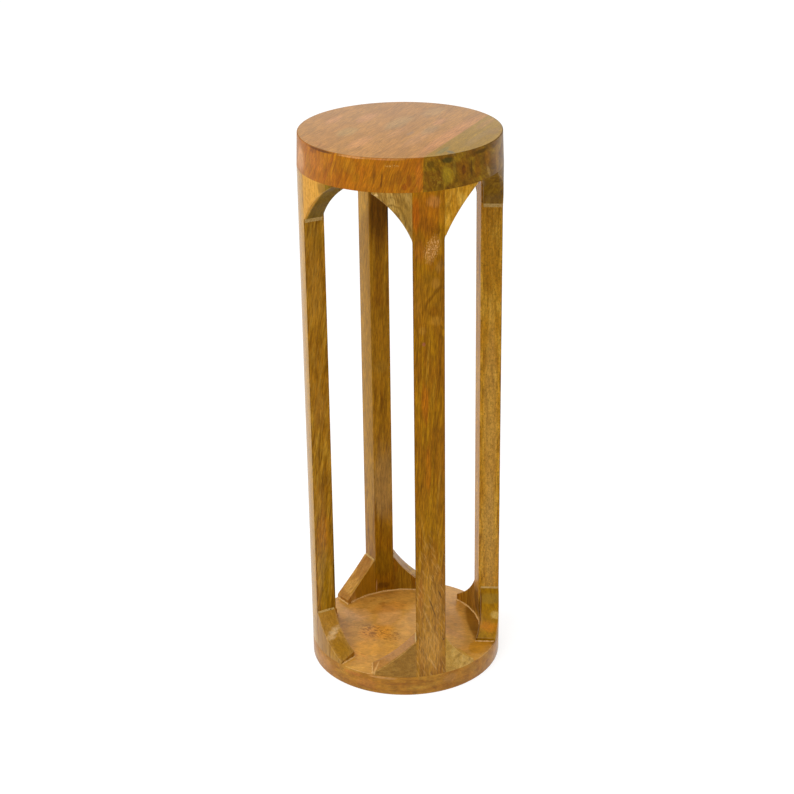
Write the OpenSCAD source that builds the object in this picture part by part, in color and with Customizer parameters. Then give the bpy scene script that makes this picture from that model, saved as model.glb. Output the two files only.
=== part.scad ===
// Round wooden plant stand, millimetres, +Z up, origin on the floor at the middle.
// Two round boards are joined by four legs with curved brackets beside each end.
// The boards, legs and brackets share one turned outside surface.

/* [Overall] */
// Height from the floor to the top surface
stand_h = 584.2; // [450:0.1:800]
// Diameter of the turned outside
stand_d = 203.2; // [196:0.1:240]

/* [Boards] */
// Thickness of the round top
top_t = 33; // [28:0.5:45]
// Loss of radius from the lower to the upper face of the top
top_taper = 1.2; // [0:0.1:3]
// Thickness of the round base, which is also the shelf
base_t = 22; // [20:0.5:35]
// Rounding of the upper rim of the top and the lower rim of the base
rim_r = 1; // [0.5:0.1:2]
// Distance of the glue line in the top from the middle
seam_offset = 61; // [50:0.5:72]
// Direction in which the narrow board of the top lies, in degrees
seam_angle = 95; // [60:0.5:120]

/* [Legs] */
// Width of a leg on the outside
leg_w = 31.8; // [28:0.1:36]
// Width of the flat inner face of a leg
leg_inner_w = 20.8; // [18:0.1:26]
// Depth of a leg from its turned outside to its flat inner face
leg_depth = 22.2; // [18:0.1:28]
// Depth to which a leg is bored out where it meets a board, down to the brackets beside it
runout_depth = 2.1; // [0.5:0.1:4]
// Height over which the bored part runs out
runout_h = 30; // [20:1:40]
// Direction of the first leg from the middle, in degrees
leg_1_angle = 45; // [43:0.5:48]
// Direction of the second leg, in degrees
leg_2_angle = 131; // [128:0.5:134]
// Direction of the third leg, in degrees
leg_3_angle = 227; // [224:0.5:229]
// Direction of the fourth leg, in degrees
leg_4_angle = 313; // [311:0.5:316]

/* [Brackets] */
// Height of a top bracket beside its leg
top_bracket_h = 45.5; // [40:0.5:55]
// Height of a base bracket beside its leg
base_bracket_h = 41.5; // [36:0.5:55]
// Reach of a bracket along the outside, from its leg to its end
bracket_reach = 44; // [38:0.5:46]
// Radius of the concave curve of a bracket
bracket_curve_r = 95; // [80:1:140]
// Width of the ledge that the curve leaves beside the leg
ledge_w = 1.4; // [0.6:0.1:3]
// Height of the blunt end of a base bracket
base_toe_h = 4; // [2:0.5:6]
// Height of the blunt end of a top bracket
top_toe_h = 1.4; // [1:0.1:4]

/* [Dowels] */
// Diameter of the dowels that join the legs to the boards
dowel_d = 10; // [8:0.5:12]
// Depth of a dowel's bore in a leg
leg_bore_h = 24; // [16:1:40]
// Depth of a dowel's bore in a board
board_bore_h = 15; // [10:0.5:17]
// Room for glue around a dowel and past each of its ends
glue_room = 0.05; // [0.02:0.01:0.1]

/* [Hidden] */
$fn = 96;
outer_r = stand_d / 2;
leg_h = stand_h - top_t - base_t;
// Distances of the flat inner face of a leg and of the bored inside of the brackets from the middle
leg_face_r = outer_r - leg_depth;
bracket_inner_r = leg_face_r + runout_depth;
// Half the angle that a leg fills on the outside, and the lean of its sides
leg_edge_a = asin(leg_w / 2 / outer_r);
leg_side_a = atan((leg_w - leg_inner_w) / 2 / (outer_r * cos(leg_edge_a) - leg_face_r));
// Place of a side plane of a leg across its own direction
leg_side_y = outer_r * sin(leg_edge_a - leg_side_a);
dowel_ring_r = (leg_face_r + outer_r) / 2;
// Each bracket is cut by hand, so its height, its reach, the radius of its curve and its toe
// follow shares of their own, leg by leg: the left bracket's, then the right one's
top_reach_shares = [[0.88, 0.9], [1, 1], [1, 1], [1, 1.13]];
top_curve_shares = [[1, 1.2], [1, 1], [1, 1], [1, 1.8]];
base_height_shares = [[1, 1], [1.1, 1.1], [1, 1], [1, 1]];
base_reach_shares = [[1.06, 0.83], [0.83, 1], [1, 0.92], [1, 1.02]];
base_curve_shares = [[4, 1], [1, 1], [1, 1.6], [1, 2]];
base_toe_shares = [[0.5, 1], [1, 1], [1, 1], [1, 0.6]];
// Turn of the end of a base bracket: 0 leaves it square to the outside, 1 makes it parallel to
// the side of the leg
base_end_shares = [[1, 0], [1, 0], [0, 0.75], [0, 0]];
overrun = rim_r;
leg_angles = [leg_1_angle, leg_2_angle, leg_3_angle, leg_4_angle];

// Round board that lies on the floor plane, narrower by the taper above, with its upper rim rounded
module round_board(thickness, taper) {
    upper_r = outer_r - taper;
    rotate_extrude() {
        polygon([[0, 0], [outer_r, 0], [upper_r, thickness - rim_r],
            [upper_r - rim_r, thickness], [0, thickness]]);
        translate([upper_r - rim_r, thickness - rim_r]) circle(r = rim_r);
    }
}

// Upright round shapes on the circle of the legs, standing on the floor plane
module at_dowels(height, radius) {
    for (angle = leg_angles) rotate([0, 0, angle]) translate([dowel_ring_r, 0, 0])
        cylinder(r = radius, h = height);
}

// Top with its bores, in its place
module top_board() {
    difference() {
        translate([0, 0, stand_h - top_t]) round_board(top_t, top_taper);
        translate([0, 0, stand_h - top_t - overrun]) at_dowels(board_bore_h + overrun, dowel_d / 2);
    }
}

// Block on the narrow board's side of the glue line
module narrow_side() {
    rotate([0, 0, seam_angle]) translate([seam_offset, -stand_d, stand_h - 2 * top_t])
        cube([stand_d, 2 * stand_d, 3 * top_t]);
}

module top_wide_board() {
    color([0.76, 0.53, 0.34]) difference() {
        top_board();
        narrow_side();
    }
}

module top_narrow_board() {
    color([0.60, 0.47, 0.20]) intersection() {
        top_board();
        narrow_side();
    }
}

module base_board() {
    color([0.72, 0.52, 0.27]) difference() {
        translate([0, 0, base_t]) mirror([0, 0, 1]) round_board(base_t, 0);
        translate([0, 0, base_t - board_bore_h]) at_dowels(board_bore_h + overrun, dowel_d / 2);
    }
}

// Outline of a leg that points along +X, run on past the turned outside
module leg_outline() {
    far_x = outer_r + overrun;
    far_y = leg_inner_w / 2 + (far_x - leg_face_r) * tan(leg_side_a);
    polygon([[leg_face_r, -leg_inner_w / 2], [far_x, -far_y], [far_x, far_y], [leg_face_r, leg_inner_w / 2]]);
}

// Leg standing on the floor plane, turned outside, bored out and drilled at both ends
module leg_body() {
    difference() {
        intersection() {
            linear_extrude(height = leg_h) leg_outline();
            cylinder(r = outer_r, h = leg_h);
        }
        cylinder(r1 = bracket_inner_r, r2 = leg_face_r, h = runout_h);
        translate([0, 0, leg_h - runout_h]) cylinder(r1 = leg_face_r, r2 = bracket_inner_r, h = runout_h);
        translate([dowel_ring_r, 0, -overrun]) cylinder(r = dowel_d / 2, h = leg_bore_h + overrun);
        translate([dowel_ring_r, 0, leg_h - leg_bore_h]) cylinder(r = dowel_d / 2, h = leg_bore_h + overrun);
    }
}

module leg(number) {
    color([0.64, 0.44, 0.16]) translate([0, 0, base_t]) rotate([0, 0, leg_angles[number - 1]]) leg_body();
}

// Bracket on the right side of a leg that points along +X, standing on its board.
// A sector of the turned ring is cut back to the side of the leg and to the end, then hollowed by
// the curve, which leaves a ledge beside the leg and a blunt toe at the far end.
module bracket_body(height, toe_h, reach, curve_r, end_share) {
    end_a = leg_edge_a + reach / outer_r * 180 / PI;
    end_turn_a = end_share * (end_a - leg_side_a);
    end_y = outer_r * sin(end_a - leg_side_a) - leg_side_y;
    run = end_y - ledge_w;
    rise = height - toe_h;
    chord = norm([run, rise]);
    stand_off = sqrt(curve_r * curve_r - chord * chord / 4);
    curve_y = leg_side_y + (ledge_w + end_y) / 2 + stand_off * rise / chord;
    curve_z = (height + toe_h) / 2 + stand_off * run / chord;
    difference() {
        rotate_extrude(angle = end_a + leg_edge_a) translate([bracket_inner_r, 0])
            square([outer_r - bracket_inner_r, height]);
        rotate([0, 0, end_a]) translate([outer_r, 0, -overrun]) rotate([0, 0, -end_turn_a])
            translate([-stand_d, 0, 0]) cube([2 * stand_d, leg_w, height + 2 * overrun]);
        rotate([0, 0, leg_side_a]) translate([0, leg_side_y - leg_w, -overrun])
            cube([stand_d, leg_w, height + 2 * overrun]);
        rotate([0, 0, leg_side_a]) translate([0, curve_y, curve_z]) rotate([0, 90, 0])
            cylinder(r = curve_r, h = stand_d);
    }
}

// Share of one bracket in a list above
function share(list, number, side) = list[number - 1][side == "left" ? 0 : 1];

// Turns the bracket on the right side of a leg along +X to its own side of its own leg
module at_side(number, side) {
    rotate([0, 0, leg_angles[number - 1]]) mirror([0, side == "left" ? 1 : 0, 0]) children();
}

module base_bracket(number, side) {
    height = base_bracket_h * share(base_height_shares, number, side);
    toe_h = base_toe_h * share(base_toe_shares, number, side);
    reach = bracket_reach * share(base_reach_shares, number, side);
    curve_r = bracket_curve_r * share(base_curve_shares, number, side);
    end_share = share(base_end_shares, number, side);
    color([0.66, 0.48, 0.20]) translate([0, 0, base_t]) at_side(number, side)
        bracket_body(height, toe_h, reach, curve_r, end_share);
}

module top_bracket(number, side) {
    reach = bracket_reach * share(top_reach_shares, number, side);
    curve_r = bracket_curve_r * share(top_curve_shares, number, side);
    color([0.68, 0.50, 0.22]) translate([0, 0, stand_h - top_t]) mirror([0, 0, 1]) at_side(number, side)
        bracket_body(top_bracket_h, top_toe_h, reach, curve_r, 0);
}

// Dowels that stand across the joint between a board and the legs
module top_dowels() {
    color([0.80, 0.66, 0.44]) translate([0, 0, stand_h - top_t - leg_bore_h + glue_room])
        at_dowels(leg_bore_h + board_bore_h - 2 * glue_room, dowel_d / 2 - glue_room);
}

module base_dowels() {
    color([0.80, 0.66, 0.44]) translate([0, 0, base_t - board_bore_h + glue_room])
        at_dowels(leg_bore_h + board_bore_h - 2 * glue_room, dowel_d / 2 - glue_room);
}

top_wide_board();
top_narrow_board();
base_board();
leg(1);  // leg_1
leg(2);  // leg_2
leg(3);  // leg_3
leg(4);  // leg_4
top_bracket(1, "left");  // top_bracket_1_left
top_bracket(1, "right");  // top_bracket_1_right
top_bracket(2, "left");  // top_bracket_2_left
top_bracket(2, "right");  // top_bracket_2_right
top_bracket(3, "left");  // top_bracket_3_left
top_bracket(3, "right");  // top_bracket_3_right
top_bracket(4, "left");  // top_bracket_4_left
top_bracket(4, "right");  // top_bracket_4_right
base_bracket(1, "left");  // base_bracket_1_left
base_bracket(1, "right");  // base_bracket_1_right
base_bracket(2, "left");  // base_bracket_2_left
base_bracket(2, "right");  // base_bracket_2_right
base_bracket(3, "left");  // base_bracket_3_left
base_bracket(3, "right");  // base_bracket_3_right
base_bracket(4, "left");  // base_bracket_4_left
base_bracket(4, "right");  // base_bracket_4_right
top_dowels();
base_dowels();
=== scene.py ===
import math

import bpy
from mathutils import Matrix, Vector


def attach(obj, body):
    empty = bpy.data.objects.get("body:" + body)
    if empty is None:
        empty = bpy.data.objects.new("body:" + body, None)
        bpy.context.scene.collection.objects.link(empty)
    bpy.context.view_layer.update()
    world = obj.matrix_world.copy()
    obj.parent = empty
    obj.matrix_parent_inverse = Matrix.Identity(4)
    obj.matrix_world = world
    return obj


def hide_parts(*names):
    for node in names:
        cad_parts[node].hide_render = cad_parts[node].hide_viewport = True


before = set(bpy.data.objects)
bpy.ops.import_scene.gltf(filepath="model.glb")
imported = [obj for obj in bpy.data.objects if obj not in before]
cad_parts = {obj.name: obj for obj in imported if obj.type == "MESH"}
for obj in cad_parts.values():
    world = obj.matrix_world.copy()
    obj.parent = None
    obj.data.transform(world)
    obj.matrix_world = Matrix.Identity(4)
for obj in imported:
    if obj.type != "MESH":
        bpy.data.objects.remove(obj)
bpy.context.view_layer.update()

MM = 0.001
UP = Vector((0, 0, 1))
WHITE = (1, 1, 1, 1)

# Camera: its place round the stand and its aim, in metres and radians
IMAGE_PX = 794
FOCAL_PX = 1839.2
SENSOR_MM = 36
CLIP_END = 20
CAMERA_TURN = math.radians(30)
CAMERA_DISTANCE = 1.7397
CAMERA_HEIGHT = 1.0760
CAMERA_YAW = -0.00362
CAMERA_PITCH = 0.42038
CAMERA_ROLL = -0.01365

# Sizes of the stand in millimetres. LEG_EDGE and LEG_LEAN are in radians, the other angles in degrees
STAND_H = 584.2
OUTER_R = 101.6
TOP_T = 33
TOP_TAPER = 1.2
BASE_T = 22
RIM_R = 1
SEAM_OFFSET = 61
SEAM_ANGLE = 95
LEG_ANGLES = {1: 45, 2: 131, 3: 227, 4: 313}
LEG_OUTER_W = 31.8
LEG_INNER_W = 20.8
LEG_FACE_R = 79.4
LEG_EDGE = math.asin(LEG_OUTER_W / 2 / OUTER_R)
LEG_LEAN = math.atan((LEG_OUTER_W - LEG_INNER_W) / 2 / (OUTER_R * math.cos(LEG_EDGE) - LEG_FACE_R))
LEG_SIDE = OUTER_R * math.sin(LEG_EDGE - LEG_LEAN)
RUNOUT_H = 30
BRACKET_R = 81.5
LEDGE_W = 1.4
CUTS = {"top": dict(height=45.5, toe=1.4, reach=44, curve=95, end=0),
        "base": dict(height=41.5, toe=4, reach=44, curve=95, end=0)}
OWN_CUTS = {
    ("top", 1, "left"): dict(reach=38.7), ("top", 1, "right"): dict(reach=39.6, curve=114),
    ("top", 4, "right"): dict(reach=49.7, curve=171),
    ("base", 1, "left"): dict(reach=46.6, curve=380, toe=2, end=1), ("base", 1, "right"): dict(reach=36.5),
    ("base", 2, "left"): dict(height=45.65, reach=36.5, end=1), ("base", 2, "right"): dict(height=45.65),
    ("base", 3, "right"): dict(reach=40.5, curve=152, end=0.75),
    ("base", 4, "right"): dict(reach=44.9, curve=190, toe=2.4)}

# Rounding of edges in millimetres: of a free edge, of a board's upper edge and of an edge beside a piece
EASE = 0.55
BOARD_EASE = 0.5
SOFT = 0.02
# Faces that meet at more than this many degrees keep a sharp edge
CREASE = 28


def around(angle_deg, radius=1.0, z=0.0):
    """Point at an angle, radius and height about the middle of the stand."""
    angle = math.radians(angle_deg)
    return Vector((radius * math.cos(angle), radius * math.sin(angle), z))


def steps(count, low=0.0, high=1.0):
    """Evenly spaced values from low to high."""
    return [low + (high - low) * index / (count - 1) for index in range(count)]


def srgb(red, green, blue):
    """Linear colour of an sRGB one with channels up to 255."""
    def linear(value):
        value /= 255
        return value / 12.92 if value <= 0.04045 else ((value + 0.055) / 1.055) ** 2.4
    return (linear(red), linear(green), linear(blue), 1.0)


def make_camera():
    data = bpy.data.cameras.new("camera")
    data.sensor_fit = "HORIZONTAL"
    data.sensor_width = SENSOR_MM
    data.lens = FOCAL_PX * SENSOR_MM / IMAGE_PX
    data.clip_end = CLIP_END
    camera = bpy.data.objects.new("camera", data)
    bpy.context.scene.collection.objects.link(camera)
    forward = Vector((math.sin(CAMERA_YAW) * math.cos(CAMERA_PITCH),
                      math.cos(CAMERA_YAW) * math.cos(CAMERA_PITCH), -math.sin(CAMERA_PITCH)))
    level = Vector((math.cos(CAMERA_YAW), -math.sin(CAMERA_YAW), 0))
    above = level.cross(forward)
    right = level * math.cos(CAMERA_ROLL) + above * math.sin(CAMERA_ROLL)
    up = above * math.cos(CAMERA_ROLL) - level * math.sin(CAMERA_ROLL)
    aim = Matrix((right, up, -forward)).transposed().to_4x4()
    turn = Matrix.Rotation(CAMERA_TURN + math.radians(90), 4, "Z")
    place = Matrix.Translation((0, -CAMERA_DISTANCE, CAMERA_HEIGHT))
    camera.matrix_world = turn @ place @ aim
    bpy.context.scene.camera = camera


class Nodes:
    """Adds wired nodes to one node tree."""

    def __init__(self, tree):
        self.tree = tree
        tree.nodes.clear()

    def add(self, kind, inputs=None, **settings):
        made = self.tree.nodes.new("ShaderNode" + kind)
        for name, value in settings.items():
            setattr(made, name, value)
        for key, value in (inputs or {}).items():
            self.plug(made.inputs[key], value)
        return made

    def plug(self, socket, value):
        if isinstance(value, bpy.types.NodeSocket):
            self.tree.links.new(value, socket)
        else:
            socket.default_value = value

    def math(self, operation, first, second=0.0):
        return self.add("Math", {0: first, 1: second}, operation=operation).outputs[0]

    def multiply_add(self, kind, value, factor, addend):
        return self.add(kind, {0: value, 1: factor, 2: addend}, operation="MULTIPLY_ADD").outputs[0]

    def span(self, value, low, high, to_low=0.0, to_high=1.0):
        """Maps low..high to to_low..to_high, and stops at both ends."""
        return self.add("MapRange", {0: value, 1: low, 2: high, 3: to_low, 4: to_high},
                        interpolation_type="SMOOTHSTEP").outputs[0]

    def mix(self, share, first, second, blend="MIX"):
        return self.add("Mix", {0: share, 6: first, 7: second}, data_type="RGBA", blend_type=blend).outputs[2]

    def dot(self, first, second):
        return self.add("VectorMath", {0: first, 1: second}, operation="DOT_PRODUCT").outputs["Value"]

    def length(self, vector):
        return self.add("VectorMath", {0: vector}, operation="LENGTH").outputs["Value"]

    def height(self, vector):
        return self.add("SeparateXYZ", {0: vector}).outputs[2]

    def placed(self, vector, place=(0, 0, 0), turn=(0, 0, 0), size=(1, 1, 1)):
        """Coordinates in a box at place, turned by turn, with sides of size."""
        return self.add("Mapping", {"Vector": vector, "Location": place, "Rotation": turn, "Scale": size},
                        vector_type="TEXTURE").outputs[0]

    def noise(self, vector, detail=2.0, rough=0.5, output="Fac"):
        return self.add("TexNoise", {"Vector": vector, "Scale": 1.0, "Detail": detail,
                                     "Roughness": rough}).outputs[output]

    def ramp(self, value, stops):
        """Colour ramp with stops of (place, colour)."""
        made = self.add("ValToRGB", {0: value})
        band = made.color_ramp
        while len(band.elements) < len(stops):
            band.elements.new(0.5)
        for element, (place, colour) in zip(band.elements, stops):
            element.position = place
            element.color = colour
        return made.outputs[0]

    def bump(self, strength, distance, height, **more):
        return self.add("Bump", dict({"Strength": strength, "Distance": distance, "Height": height},
                                     **more)).outputs[0]

    def shader(self, socket):
        """Sends a shader to the output of a material or the world."""
        kind = "OutputWorld" if isinstance(self.tree.id_data, bpy.types.World) else "OutputMaterial"
        self.plug(self.add(kind).inputs[0], socket)


def new_material(name):
    material = bpy.data.materials.new(name)
    material.use_nodes = True
    return material, Nodes(material.node_tree)


# World: bright on all sides but the front, and plain white where it is seen
FRONT = around(30)
FRONT_LIGHT = 0.38
SIDE_LIGHT = 0.95
LIGHT_TURN = (0.1, 0.85)


def make_world():
    world = bpy.data.worlds.new("studio")
    bpy.context.scene.world = world
    world.use_nodes = True
    nodes = Nodes(world.node_tree)
    direction = nodes.add("TexCoord").outputs["Generated"]
    level = nodes.span(nodes.dot(direction, FRONT), *LIGHT_TURN, SIDE_LIGHT, FRONT_LIGHT)
    path = nodes.add("LightPath")
    strength = nodes.add("Mix", {0: path.outputs["Is Camera Ray"], 2: level, 3: 1.0},
                         data_type="FLOAT").outputs[0]
    nodes.shader(nodes.add("Background", {0: WHITE, 1: strength}).outputs[0])


# Floor: near white, with a faint shadow. Its mirror image is bright near the stand and dark in front
FLOOR_SIZE = 12
FLOOR_LIFT = 0.74
FLOOR_SHADE = 0.36
FLOOR_BOUNCE = 0.8
BRIGHT_FLOOR = 0.95
DARK_FLOOR = 0.04
DARK_FROM = (0.22, 0.55)
DARK_SIDE = around(52)
DARK_SPREAD = 0.25


def make_floor():
    """Pale floor that reads as white, keeps a soft shadow, and is dark in front for reflections."""
    mesh = bpy.data.meshes.new("floor")
    half = FLOOR_SIZE / 2
    corners = [(-half, -half, 0), (half, -half, 0), (half, half, 0), (-half, half, 0)]
    mesh.from_pydata(corners, [], [(0, 1, 2, 3)])
    floor = bpy.data.objects.new("floor", mesh)
    bpy.context.scene.collection.objects.link(floor)
    material, nodes = new_material("floor_white")
    path = nodes.add("LightPath")
    seen = nodes.add("AddShader", {0: nodes.add("BsdfDiffuse", {0: (FLOOR_SHADE,) * 3 + (1,)}).outputs[0],
                                   1: nodes.add("Emission", {0: WHITE, 1: FLOOR_LIFT}).outputs[0]})
    spot = nodes.add("TexCoord").outputs["Object"]
    ahead = nodes.multiply_add("Math", nodes.length(spot), DARK_SPREAD, nodes.dot(spot, DARK_SIDE))
    level = nodes.span(ahead, *DARK_FROM, BRIGHT_FLOOR, DARK_FLOOR)
    mirrored = nodes.add("Emission", {0: WHITE, 1: level})
    lit = nodes.add("BsdfDiffuse", {0: (FLOOR_BOUNCE,) * 3 + (1,)})
    sharp = nodes.math("MAXIMUM", path.outputs["Is Glossy Ray"], path.outputs["Is Transmission Ray"])
    other = nodes.add("MixShader", {0: sharp, 1: lit.outputs[0], 2: mirrored.outputs[0]})
    nodes.shader(nodes.add("MixShader", {0: path.outputs["Is Camera Ray"], 1: other.outputs[0],
                                         2: seen.outputs[0]}).outputs[0])
    mesh.materials.append(material)


def make_lamp(name, place, aim, size, power):
    data = bpy.data.lights.new(name, "AREA")
    data.shape = "DISK"
    data.size = size
    data.energy = power
    lamp = bpy.data.objects.new(name, data)
    bpy.context.scene.collection.objects.link(lamp)
    turn = (Vector(aim) - Vector(place)).to_track_quat("-Z", "Y").to_matrix().to_4x4()
    lamp.matrix_world = Matrix.Translation(place) @ turn


# Plain wood. Tones are sRGB. Sizes are of the noise, in millimetres across the growth rings, along them and
# along the grain. Slants are in degrees, the zone of the flecks in millimetres of height, the rest are shares
PLAIN = dict(
    dark=(128, 78, 5), mid=(158, 102, 8), light=(180, 130, 26), streak=(3, 6, 80), streak_span=(0.34, 0.66),
    drift=(150, 92, 6), drift_share=0.6, drift_size=(16, 16, 50),
    fibre=0.24, fibre_size=(1.3, 1.3, 10), slant=0.0,
    blotch=0.07, blotch_size=(4, 4, 20),
    pores=0.35, pore_size=(0.8, 0.8, 5),
    flecks=0.0, fleck_size=(1.3, 1.3, 8), fleck_slant=0.0, fleck_zone=None, fleck_tint=(215, 165, 75),
    flat_tint=None, flat_share=0.6,
    # Tint of rounded edges and ledges; where it is pale it is part wear, part painted highlight
    worn=0.7, worn_tint=(80, 48, 5),
    coat=0.68, gloss=0.13, relief=0.3)

# Each wood's noise is moved by its seed times these
SEED_STEPS = (0.37, 0.73, 0.19)
# How far and at what size the streaks wander
WANDER = (9, 9, 0)
WANDER_SIZE = (26, 26, 110)
# Upward share of the normal from which a face counts as level, and at which it does in full
LEVEL_FROM = (0.8, 0.97)
PORE_TONE = 0.62
WORN_COAT = 0.3
WOOD_ROUGH = 0.55
WOOD_IOR = 1.5
WOOD_SPECULAR = 0.05
COAT_IOR = 1.37
# A patch whose edge is less ragged than this is nearly even up to the edge
SHARP_BELOW = 0.2
SHARP_FADE = 0.8
SOFT_FADE = 0.45
LEVEL_PATCH_DEPTH = 4


def on_side(angle, z, width, height, tint, share=0.6, ragged=0.8, lean=0, radius=OUTER_R, depth=9, speck=0,
            rings=0):
    """Tinted patch on an upright face. A positive lean tips its top to the left as seen from outside."""
    turn = Matrix.Rotation(math.radians(angle), 3, "Z") @ Matrix.Rotation(math.radians(lean), 3, "X")
    return (around(angle, radius, z) * MM, turn.to_euler(), (depth, width / 2, height / 2), tint, share,
            ragged, speck, rings)


def on_flat(angle, radius, z, length, width, tint, share=0.6, ragged=0.8, heading=None, speck=0):
    """Tinted patch on a level face. It is long towards its heading, which is straight outwards by default."""
    turn = Matrix.Rotation(math.radians(angle if heading is None else heading), 3, "Z")
    return (around(angle, radius, z) * MM, turn.to_euler(), (length / 2, width / 2, LEVEL_PATCH_DEPTH), tint,
            share, ragged, speck, 0)


def add_patch(nodes, colour, where, board, slant, seed, patch):
    """Colour with one patch blended in."""
    centre, spin, size, tint, share, ragged, speck, rings = patch
    spot = nodes.placed(where, centre, spin, [part * MM for part in size])
    edge = nodes.noise(nodes.placed(spot, (seed, 0, 0), size=(0.6, 0.6, 0.6)), 3.0, 0.6)
    reach = nodes.multiply_add("Math", edge, ragged, nodes.length(spot))
    fade = SOFT_FADE if ragged > SHARP_BELOW else SHARP_FADE
    mask = nodes.span(reach, 1.0 + ragged / 2, fade + ragged / 2, 0, share)
    if speck:
        dots = nodes.noise(nodes.placed(board, (3, 3, 3), slant, (speck, speck, speck * 1.3)), 2.0, 0.7)
        mask = nodes.math("MULTIPLY", mask, nodes.span(dots, 0.5, 0.6))
    if rings:
        wave = nodes.math("SINE", nodes.math("MULTIPLY", reach, rings * 2 * math.pi))
        mask = nodes.math("MULTIPLY", mask, nodes.span(wave, 0.1, 1.0))
    return nodes.mix(mask, colour, srgb(*tint))


def add_flecks(nodes, colour, where, board, look):
    """Colour with slanted flecks, which may keep to the foot of a leg."""
    slant = (0, math.radians(look["fleck_slant"]), 0)
    flecks = nodes.noise(nodes.placed(board, (5, 1, 8), slant, look["fleck_size"]), 2.0, 0.6)
    share = nodes.span(flecks, 0.54, 0.66, 0, look["flecks"])
    if look["fleck_zone"]:
        low, high = look["fleck_zone"]
        share = nodes.math("MULTIPLY", share, nodes.span(nodes.height(where), low * MM, high * MM, 1, 0))
    return nodes.mix(share, colour, srgb(*look["fleck_tint"]))


def wood(name, along, across, seed, patches=(), **changes):
    """Lacquered wood. along is the grain's direction, and across is square to the growth rings."""
    look = dict(PLAIN, **changes)
    material, nodes = new_material(name)
    along = Vector(along).normalized()
    across = (Vector(across) - Vector(across).dot(along) * along).normalized()
    turn = Matrix((across, along.cross(across), along)).transposed().to_euler()
    where = nodes.add("TexCoord").outputs["Object"]
    board = nodes.placed(where, [seed * step for step in SEED_STEPS], turn, (MM, MM, MM))
    wander = nodes.noise(nodes.placed(board, size=WANDER_SIZE), 1.0, output="Color")
    shift = nodes.multiply_add("VectorMath", wander, WANDER, board)
    slant = (0, math.radians(look["slant"]), 0)

    # Growth streaks in three tones, drifts of another tone, and a tone of its own for level faces
    streaks = nodes.noise(nodes.placed(shift, turn=slant, size=look["streak"]), 3.0, 0.62)
    low, high = look["streak_span"]
    colour = nodes.ramp(streaks, [(low, srgb(*look["dark"])), ((low + high) / 2, srgb(*look["mid"])),
                                  (high, srgb(*look["light"]))])
    drift = nodes.noise(nodes.placed(shift, (7, 3, 0), size=look["drift_size"]), 2.0)
    colour = nodes.mix(nodes.span(drift, 0.42, 0.6, 0, look["drift_share"]), colour, srgb(*look["drift"]))
    if look["flat_tint"]:
        level = nodes.height(nodes.add("NewGeometry").outputs["Normal"])
        share = nodes.span(level, *LEVEL_FROM, 0, look["flat_share"])
        colour = nodes.mix(share, colour, srgb(*look["flat_tint"]))
    for patch in patches:
        colour = add_patch(nodes, colour, where, board, slant, seed, patch)

    # Fine fibres, blotches, pores and flecks
    fibres = nodes.noise(nodes.placed(board, turn=slant, size=look["fibre_size"]), 3.0, 0.68)
    gain = nodes.span(fibres, 0.3, 0.7, 1 - look["fibre"], 1 + look["fibre"])
    blotches = nodes.noise(nodes.placed(shift, (1, 8, 5), slant, look["blotch_size"]), 2.0, 0.55)
    shade = nodes.span(blotches, 0.36, 0.64, 1 - look["blotch"], 1 + look["blotch"])
    colour = nodes.mix(1.0, colour, nodes.math("MULTIPLY", gain, shade), "MULTIPLY")
    pores = nodes.noise(nodes.placed(board, (4, 9, 2), slant, look["pore_size"]), 2.0, 0.6)
    pore_tint = srgb(*[PORE_TONE * part for part in look["dark"]])
    colour = nodes.mix(nodes.span(pores, 0.58, 0.68, 0, look["pores"]), colour, pore_tint)
    if look["flecks"]:
        colour = add_flecks(nodes, colour, where, board, look)

    # Edges and ledges tinted: pale on brackets and the base, part wear and part painted highlight, darker on
    # legs and the top. Then lacquer over slow waves and the fibres
    wear_and_highlight_share = nodes.add("Attribute", attribute_name="worn").outputs["Fac"]
    edge_breakup = nodes.noise(nodes.placed(board, (2, 6, 4), size=(4, 4, 9)), 3.0, 0.7)
    edge = nodes.math("MULTIPLY", wear_and_highlight_share, nodes.span(edge_breakup, 0.35, 0.6, 0.35 * look["worn"], look["worn"]))
    colour = nodes.mix(edge, colour, srgb(*look["worn_tint"]))
    waves = nodes.noise(nodes.placed(board, size=(14, 14, 40)), 1.0)
    ripple = nodes.bump(look["relief"], 0.0006, waves)
    grain = nodes.bump(0.3, 0.0001, fibres, Normal=ripple)
    coat = nodes.span(wear_and_highlight_share, 0, 1, look["coat"], WORN_COAT * look["coat"])
    nodes.shader(nodes.add("BsdfPrincipled", {
        "Base Color": colour, "Roughness": WOOD_ROUGH, "IOR": WOOD_IOR, "Specular IOR Level": WOOD_SPECULAR,
        "Normal": grain, "Coat Weight": coat, "Coat Roughness": look["gloss"], "Coat IOR": COAT_IOR,
        "Coat Normal": ripple}).outputs[0])
    return material


def filler(name, tint, dark):
    """Dried glue or putty."""
    material, nodes = new_material(name)
    where = nodes.add("TexCoord").outputs["Object"]
    lumps = nodes.noise(nodes.placed(where, size=(0.0015, 0.0015, 0.0015)), 3.0, 0.65)
    colour = nodes.mix(nodes.span(lumps, 0.35, 0.65), srgb(*tint), srgb(*dark))
    nodes.shader(nodes.add("BsdfPrincipled", {
        "Base Color": colour, "Roughness": 0.35, "IOR": 1.45, "Specular IOR Level": 0.1,
        "Normal": nodes.bump(0.4, 0.0003, lumps)}).outputs[0])
    return material


def dress(node, material):
    """Gives a node that keeps its own mesh a material."""
    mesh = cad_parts[node].data
    mesh.materials.clear()
    mesh.materials.append(material)


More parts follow.
